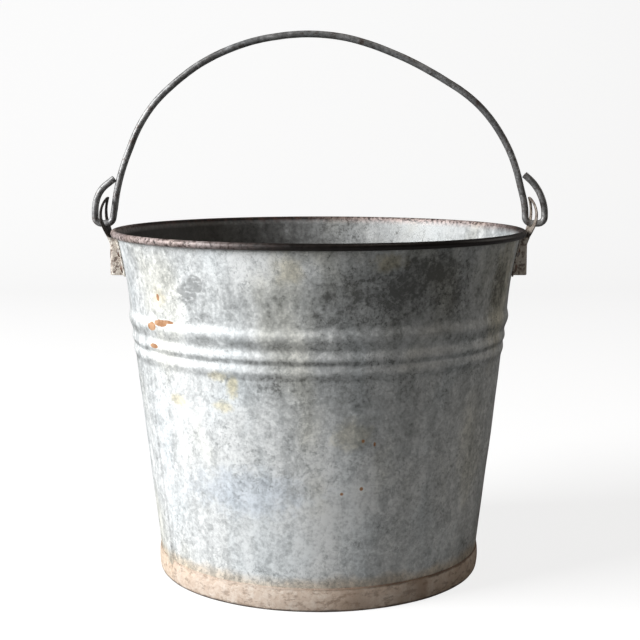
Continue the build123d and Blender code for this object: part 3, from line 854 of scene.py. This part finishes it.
def rivet_blank():
    """One rivet along Z with the wall's outer face at the origin: a closed lathe shape of few faces."""
    grip_in = sheet + rivet_inner_ease
    grip_out = ear_sheet + rivet_outer_ease
    outline = [(0.0, -grip_in - rivet_inner_dome)]
    for step in range(1, 5):
        turn = math.radians(90 * step / 4)
        outline.append((rivet_head * math.sin(turn), -grip_in - rivet_inner_dome * math.cos(turn)))
    outline += [(rivet_radius, -grip_in), (rivet_radius, grip_out)]
    for step in range(5):
        turn = math.radians(90 * step / 5)
        outline.append((rivet_head * math.cos(turn), grip_out + rivet_dome * math.sin(turn)))
    outline.append((0.0, grip_out + rivet_dome))
    sides = 20
    points = [(0, 0, outline[0][1])]
    for radius, z in outline[1:-1]:
        points += [(radius * math.cos(math.tau * i / sides), radius * math.sin(math.tau * i / sides), z)
                   for i in range(sides)]
    points.append((0, 0, outline[-1][1]))
    last = len(points) - 1
    faces = []
    for i in range(sides):
        nxt = (i + 1) % sides
        faces.append((0, 1 + nxt, 1 + i))
        for level in range(len(outline) - 3):
            low, high = 1 + level * sides, 1 + (level + 1) * sides
            faces.append((low + i, low + nxt, high + nxt, high + i))
        top = 1 + (len(outline) - 3) * sides
        faces.append((top + i, top + nxt, last))
    return mesh_piece("rivet_blank", points, faces)


def rivet_tree():
    """Sets a rivet on each point, along the point's stored direction."""
    group, given, result = new_group(
        "set_rivets", "GeometryNodeTree",
        [("Places", "Geometry"), ("Rivet", "Object"), ("Unevenness", "Float", 0.1), ("Seed", "Int", 1),
         ("Material", "Material")],
        [("Geometry", "Geometry")])
    shape = place(group, "GeometryNodeObjectInfo", {"Object": given["Rivet"]}, transform_space="ORIGINAL")
    spots = place(group, "GeometryNodeMeshToPoints", {"Mesh": given["Places"]})
    way = stored_layer(group, "way", "FLOAT_VECTOR")
    aim = place(group, "FunctionNodeAlignEulerToVector", {"Vector": way}, axis="Z")
    spread = minus(group, 1.0, given["Unevenness"])
    size = place(group, "FunctionNodeRandomValue", {"Seed": given["Seed"]}, data_type="FLOAT_VECTOR")
    low = place(group, "ShaderNodeCombineXYZ", {"X": spread, "Y": spread, "Z": spread}).outputs[0]
    group.links.new(low, size.inputs["Min"])
    size.inputs["Max"].default_value = (1.0, 1.0, 1.0)
    copies = place(group, "GeometryNodeInstanceOnPoints",
                   {"Points": spots.outputs[0], "Instance": shape.outputs["Geometry"],
                    "Rotation": aim.outputs[0], "Scale": size.outputs[0]})
    real = place(group, "GeometryNodeRealizeInstances", {"Geometry": copies.outputs[0]})
    return end_tree(group, real.outputs[0], given, result)


def rivet_material():
    material, tree = blank_material("rivet_steel")
    vector = place(tree, "ShaderNodeTexCoord").outputs["Object"]
    zinc = use_group(tree, mottled_zinc, Vector=vector, Warmth=1.0, Shift=0.0, Pale=(0.50, 0.47, 0.45, 1),
                     Middle=(0.27, 0.25, 0.24, 1), Dark=(0.09, 0.075, 0.07, 1))
    brown = use_group(tree, rust, Vector=vector, Cover=0.70, Scale=260.0, Fresh=(0.26, 0.13, 0.07, 1))
    colour = colour_mix(tree, brown["Mask"], zinc["Colour"], brown["Colour"])
    metal_surface(tree, colour, 0.5, 0.52, zinc["Relief"], 0.5, 0.0003)
    return material


set_rivets = rivet_tree()
rivet_steel = rivet_material()
for side, sign in (("left", -1), ("right", 1)):
    spots, ways = [], []
    for drop in rivet_drops:
        for across in (-rivet_offset, rivet_offset):
            z = rim_top - drop
            turn = math.asin(across / wall_radius(z))
            out = Vector((sign * math.cos(turn), math.sin(turn), 0))
            spots.append(out * wall_radius(z) + Vector((0, 0, z)))
            ways.append(out * math.cos(lean_at(z)) - Vector((0, 0, math.sin(lean_at(z)))))
    places = mesh_piece("rivet_places", spots, [])
    values = places.data.attributes.new("way", "FLOAT_VECTOR", "POINT").data
    for value, way in zip(values, ways):
        value.vector = way
    rivets = made_by_nodes("rivets_" + side, places, set_rivets, Rivet=rivet_blank(), Unevenness=0.06, Seed=4,
                           Material=rivet_steel)
    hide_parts("ear_rivets_" + side)
    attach(rivets, "pail")

# ------------------------------------------------------------
# The bail: one length of drawn steel wire, bent by hand over a former into an arch and hooked through both
# eyes. The zinc on it is thin, so it is dull grey with a little rust.
pivot = Vector(frame["joints"][0]["pos_m"])
bail_low, bail_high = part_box("bail_wire")
wire_radius = (bail_high.y - bail_low.y) / 2
bail_rise = 0.1302
eye_middle = 0.149684
hook_gaps = {-1: (0.0022, 0.0038), 1: (0.0016, 0.0056)}
inner_leg = {side: eye_middle - ear_sheet / 2 - gaps[0] - wire_radius for side, gaps in hook_gaps.items()}
outer_leg = {side: eye_middle + ear_sheet / 2 + gaps[1] + wire_radius for side, gaps in hook_gaps.items()}
half_span = (inner_leg[-1] + inner_leg[1]) / 2
hook_bend = wire_radius + 0.0021
bend_share = 0.49
arch_corners = ((-0.963, 0.244), (-0.839, 0.595), (-0.565, 0.865), (-0.224, 1.001), (0.131, 0.998),
                (0.461, 0.855), (0.769, 0.649), (0.931, 0.386), (0.998, 0.097))
left_hook = ((-0.0001, 0.0140), (-0.0043, 0.0240), (-0.0140, 0.0313))
right_hook = ((0.0, 0.0115), (-0.0031, 0.0207), (-0.0083, 0.0286), (-0.0146, 0.03395))


def wire_tree():
    """Rounds the corners of a wire's route by their own radii and draws the wire along it."""
    group, given, result = new_group(
        "bent_wire", "GeometryNodeTree",
        [("Route", "Geometry"), ("Radius", "Float", 0.0024), ("Unevenness", "Float", 0.0001),
         ("Material", "Material")],
        [("Geometry", "Geometry")])
    line = place(group, "GeometryNodeMeshToCurve", {"Mesh": given["Route"]})
    bend = stored_layer(group, "bend")
    rounded = place(group, "GeometryNodeFilletCurve",
                    {"Curve": line.outputs[0], "Radius": bend, "Count": 24}, mode="POLY")
    even = place(group, "GeometryNodeResampleCurve",
                 {"Curve": rounded.outputs[0], "Length": 0.0011}, mode="LENGTH")
    position = place(group, "GeometryNodeInputPosition").outputs[0]
    wander = place(group, "ShaderNodeTexNoise", {"Vector": position, "Scale": 28.0, "Detail": 2.0})
    centred = place(group, "ShaderNodeVectorMath", {0: wander.outputs["Color"], 1: (0.5, 0.5, 0.5)},
                    operation="SUBTRACT")
    offset = place(group, "ShaderNodeVectorMath", {0: centred.outputs[0], "Scale": given["Unevenness"]},
                   operation="SCALE")
    shaken = place(group, "GeometryNodeSetPosition",
                   {"Geometry": even.outputs[0], "Offset": offset.outputs[0]})
    profile = place(group, "GeometryNodeCurvePrimitiveCircle", {"Resolution": 24, "Radius": given["Radius"]})
    solid = place(group, "GeometryNodeCurveToMesh", {"Curve": shaken.outputs[0],
                                                     "Profile Curve": profile.outputs[0], "Fill Caps": True})
    return end_tree(group, solid.outputs[0], given, result)


def hook_route(side, corners):
    """Corners of one hook, from the inner leg through the eye to the cut end."""
    route = [Vector((side * inner_leg[side], 0, pivot.z)), Vector((side * outer_leg[side], 0, pivot.z))]
    return route + [Vector((side * (outer_leg[side] + out), 0, pivot.z + up)) for out, up in corners]


def bail_material():
    material, tree = blank_material("bail_steel")
    vector = place(tree, "ShaderNodeTexCoord").outputs["Object"]
    zinc = use_group(tree, mottled_zinc, Vector=vector, Warmth=0.5, Shift=0.0, Pale=(0.52, 0.52, 0.52, 1),
                     Middle=(0.21, 0.21, 0.21, 1), Dark=(0.055, 0.052, 0.05, 1))
    brown = use_group(tree, rust, Vector=vector, Cover=0.50, Scale=170.0, Fresh=(0.26, 0.17, 0.12, 1),
                      Old=(0.075, 0.045, 0.033, 1))
    colour = colour_mix(tree, times(tree, brown["Mask"], 0.75), zinc["Colour"], brown["Colour"])
    rough = ramp(tree, zinc["Tone"], 0.2, 0.9, 0.38, 0.55)
    metal_surface(tree, colour, 0.5, rough, zinc["Relief"], 0.5, 0.0004)
    return material


left_route, right_route = hook_route(-1, left_hook), hook_route(1, right_hook)
arch = [Vector((share * half_span, 0, pivot.z + rise * bail_rise)) for share, rise in arch_corners]
route = left_route[::-1] + arch + right_route
bends = []
for index, here in enumerate(route):
    if index in (0, len(route) - 1):
        bends.append(0.0)
        continue
    back, on = route[index - 1] - here, route[index + 1] - here
    turn = math.pi - back.angle(on)
    bends.append(bend_share * min(back.length, on.length) / math.tan(turn / 2))
for eye_corner in (len(left_route) - 2, len(left_route) + len(arch)):
    bends[eye_corner] = hook_bend
    bends[eye_corner + 1] = hook_bend
wire_route = mesh_piece("wire_route", route, [])
wire_route.data.edges.add(len(route) - 1)
for index, edge in enumerate(wire_route.data.edges):
    edge.vertices = (index, index + 1)
store(wire_route, "bend", bends)
bail = made_by_nodes("bail", wire_route, wire_tree(), Radius=wire_radius, Unevenness=0.0009,
                     Material=bail_material())
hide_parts("bail_wire")
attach(bail, "bail")
